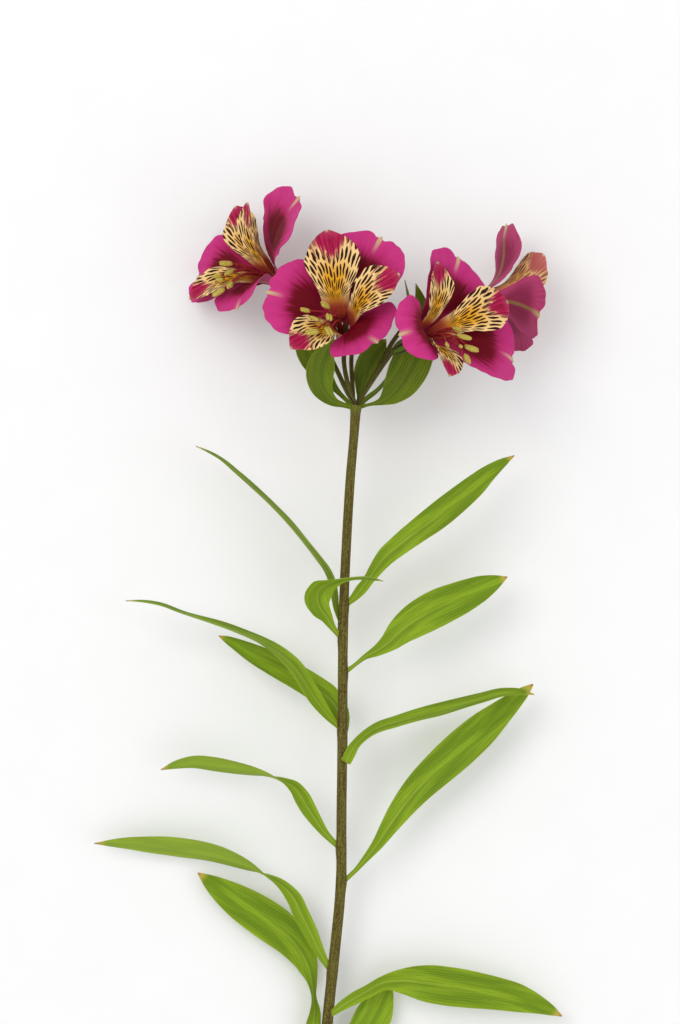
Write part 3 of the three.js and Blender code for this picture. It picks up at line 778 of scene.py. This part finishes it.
def round_thread(bm, line, radii, sides=10):
    """Adds a closed round thread through the line's points."""
    onward = unit(np.gradient(line, axis=0))
    side = np.cross(onward[0], np.array([0.31, 0.59, 0.74]))
    angles = np.linspace(0, 2 * math.pi, sides, endpoint=False)[:, None]
    rings = []
    for point, direction, radius in zip(line, onward, radii):
        side = unit(side - direction * np.dot(side, direction))
        over = np.cross(direction, side)
        spokes = np.cos(angles) * side + np.sin(angles) * over
        rings.append([bm.verts.new(place) for place in point + radius * spokes])
    for below, above in zip(rings, rings[1:]):
        for k in range(sides):
            after = (k + 1) % sides
            bm.faces.new((below[k], below[after], above[after], above[k]))
    bm.faces.new(rings[0][::-1])
    bm.faces.new(rings[-1])


def anther(bm, end, length_way, crosswise, size):
    """Adds a grainy anther of two long lobes side by side."""
    third = np.cross(length_way, crosswise)
    lobe_axes = np.array([length_way * LOBE_LENGTH, crosswise * LOBE_WIDTH, third * LOBE_HEIGHT]).T * size
    for lobe in (-1, 1):
        centre = end + crosswise * lobe * LOBE_OFFSET * size
        for vertex in bmesh.ops.create_icosphere(bm, subdivisions=3, radius=1.0)["verts"]:
            place = np.array(vertex.co)
            place = place * (1 + 0.08 * noise.noise(Vector(place * 3.1)))
            place[2] += 0.14 * place[0] ** 2
            vertex.co = centre + lobe_axes @ place


def build_stamens(name, base, axis, filament_paint, anther_paint):
    """Six curved filaments with their anthers, and the style with its three-way tip."""
    node = name + "_stamens"
    lean = cad_points(node).mean(axis=0) - base
    lean = unit(lean - axis * np.dot(lean, axis))
    across = np.cross(axis, lean)
    threads, anthers = bmesh.new(), bmesh.new()
    for number, (angle, distance, height, size) in enumerate(STAMENS):
        turn = math.radians(angle)
        outward = lean * math.cos(turn) + across * math.sin(turn)
        line = thread_line(base, axis, outward, 0.75, distance, height)
        round_thread(threads, line, np.linspace(*FILAMENT_RADII, len(line)))
        onward = unit(line[-1] - line[-3])
        crosswise = unit(np.cross(onward, outward + 0.3 * axis))
        swing = 0.8 * math.sin(2.4 * number)
        length_way = unit(onward * math.cos(swing) + crosswise * math.sin(swing))
        crosswise = unit(crosswise - length_way * np.dot(crosswise, length_way))
        anther(anthers, line[-1], length_way, crosswise, size)
    style = thread_line(base, axis, lean, 0.2, STYLE_DISTANCE, STYLE_HEIGHT)
    round_thread(threads, style, np.linspace(*FILAMENT_RADII, len(style)))
    onward = unit(style[-1] - style[-3])
    for k in range(3):
        spin = 2 * math.pi * k / 3
        aside = lean * math.cos(spin) + across * math.sin(spin)
        steps = [(0.0, 0.0), (1.2, 0.5), (1.8, 1.5)]
        arm = np.array([style[-1] + onward * up * MM + aside * out * MM for up, out in steps])
        round_thread(threads, arm, np.array([0.3, 0.25, 0.12]) * MM, 6)
    for bm, label, paint in ((threads, "_filaments", filament_paint), (anthers, "_anthers", anther_paint)):
        mesh = bpy.data.meshes.new(name + label)
        bmesh.ops.recalc_face_normals(bm, faces=bm.faces)
        bm.to_mesh(mesh)
        bm.free()
        add_piece(name + label, mesh, paint, node)


def build_bud():
    """A closed bud of three keeled petals."""
    bud = Tube("bud", STEM_TOP, rows=60, sides=36)
    ribs = np.repeat(np.cos(3 * bud.angles)[None], len(bud.along), axis=0)
    bud.swell = bud.swell + 0.1 * ribs * np.sin(math.pi * bud.along)[:, None]
    mesh = bud.mesh()
    write_attribute(mesh, "rib", with_ends((ribs + 1) / 2, 0, 0))
    add_piece("bud_petals", mesh, bud_material(), "bud")


# ---- the plant -----------------------------------------------------------------------------------


def build_plant():
    build_stem()
    leaf_paint = leaf_material("leaf_blade", "#8CAA1C", "#62800A", "#98B040", "#C2B04A", 0.3, 0.5)
    bract_paint = leaf_material("bract_blade", "#698010", "#4A6006", "#86983A", "#9A9A3A", 0.4, 0.15)
    for node in LEAVES:
        build_leaf(node, leaf_paint, rows=72, columns=36)
    for node in BRACTS:
        build_leaf(node, bract_paint, rows=50, columns=32)
    outer_paint, inner_paint = outer_petal_material(), inner_petal_material()
    stalk_paint = stalk_material()
    filament_paint = stamen_material("filament", "#8C1C28", "#A83A34", 900.0, 0.03 * MM)
    anther_paint = stamen_material("anther", "#CDBB5E", "#A8963C", 2600.0, 0.12 * MM)
    for name in FLOWERS:
        base, axis = flower_axis(name)
        build_stalk(name + "_stalk", stalk_paint, 8 * MM)
        for i in (1, 2, 3):
            build_outer_petal(f"{name}_outer_petal_{i}", base, axis, outer_paint)
            build_inner_petal(f"{name}_inner_petal_{i}", base, axis, inner_paint)
        build_stamens(name, base, axis, filament_paint, anther_paint)
    build_stalk("bud_stalk", stalk_paint, 5 * MM)
    build_bud()


# ---- floor, light and camera ---------------------------------------------------------------------

FLOOR_SIZE = 6.0
FLOOR_DROP = 0.2 * MM  # how far the floor is below the plant's lowest point, so that faces don't meet
LENS = 150.0
SENSOR = 36.0
VIEW_HEIGHT = 1.028  # height of the view, as a share of the plant's length
VIEW_RIGHT = 0.026  # how far right of the plant's middle the view's middle is, as a share of its width
VIEW_UP = 0.171  # how far above the plant's middle it is, as a share of its length
FOCUS_HEIGHT = 0.45  # level at which the view has that height, as a share of the plant's height


def build_floor():
    """One pale sheet of paper with a faint grain."""
    mesh = bpy.data.meshes.new("floor")
    half = FLOOR_SIZE / 2
    corners = [(-half, -half), (half, -half), (half, half), (-half, half)]
    mesh.from_pydata([(x, y, cad_low.z - FLOOR_DROP) for x, y in corners], [], [(0, 1, 2, 3)])
    floor = bpy.data.objects.new("floor", mesh)
    bpy.context.scene.collection.objects.link(floor)
    paint = Paint("floor_paper", roughness=0.9)
    grain = paint.noise(paint.node("ShaderNodeTexCoord", {}, "Object"), 40.0, 3.0)
    white = paint.mix(grain, colour("#F5F4F3"), colour("#F9F8F7"))
    mesh.materials.append(paint.finish(white, grain, 0.05 * MM))


def add_light(name, place, target, size, watts, tint):
    data = bpy.data.lights.new(name, "AREA")
    data.shape = "DISK"
    data.size = size
    data.energy = watts
    data.color = tint
    lamp = bpy.data.objects.new(name, data)
    lamp.location = place
    lamp.rotation_euler = (Vector(target) - Vector(place)).to_track_quat("-Z", "Y").to_euler()
    bpy.context.scene.collection.objects.link(lamp)


def build_lights():
    """A soft key from the upper left, a weak fill from the right, and an even pale surround."""
    middle = (cad_low + cad_high) / 2
    add_light("key", middle + Vector((-0.9, 0.8, 1.9)), middle, 1.4, 14.0, (1.0, 0.985, 0.96))
    add_light("fill", middle + Vector((1.3, -0.5, 1.5)), middle, 1.6, 6.0, (0.96, 0.98, 1.0))
    world = bpy.data.worlds.new("studio")
    bpy.context.scene.world = world
    world.use_nodes = True
    background = world.node_tree.nodes["Background"]
    background.inputs["Color"].default_value = (0.97, 0.98, 1.0, 1.0)
    background.inputs["Strength"].default_value = 0.8


def build_camera():
    """Looks straight down, with the flowers near the top and the foot of the stem out of view."""
    size = cad_high - cad_low
    middle = (cad_low + cad_high) / 2
    data = bpy.data.cameras.new("camera")
    data.lens = LENS
    data.sensor_width = SENSOR
    data.clip_end = 20.0
    camera = bpy.data.objects.new("camera", data)
    distance = VIEW_HEIGHT * size.y * LENS / SENSOR
    camera.location = (
        middle.x + VIEW_RIGHT * size.x,
        middle.y + VIEW_UP * size.y,
        cad_low.z + FOCUS_HEIGHT * size.z + distance,
    )
    bpy.context.scene.collection.objects.link(camera)
    bpy.context.scene.camera = camera


build_plant()
build_floor()
build_lights()
build_camera()
bpy.context.scene.view_settings.view_transform = "Standard"
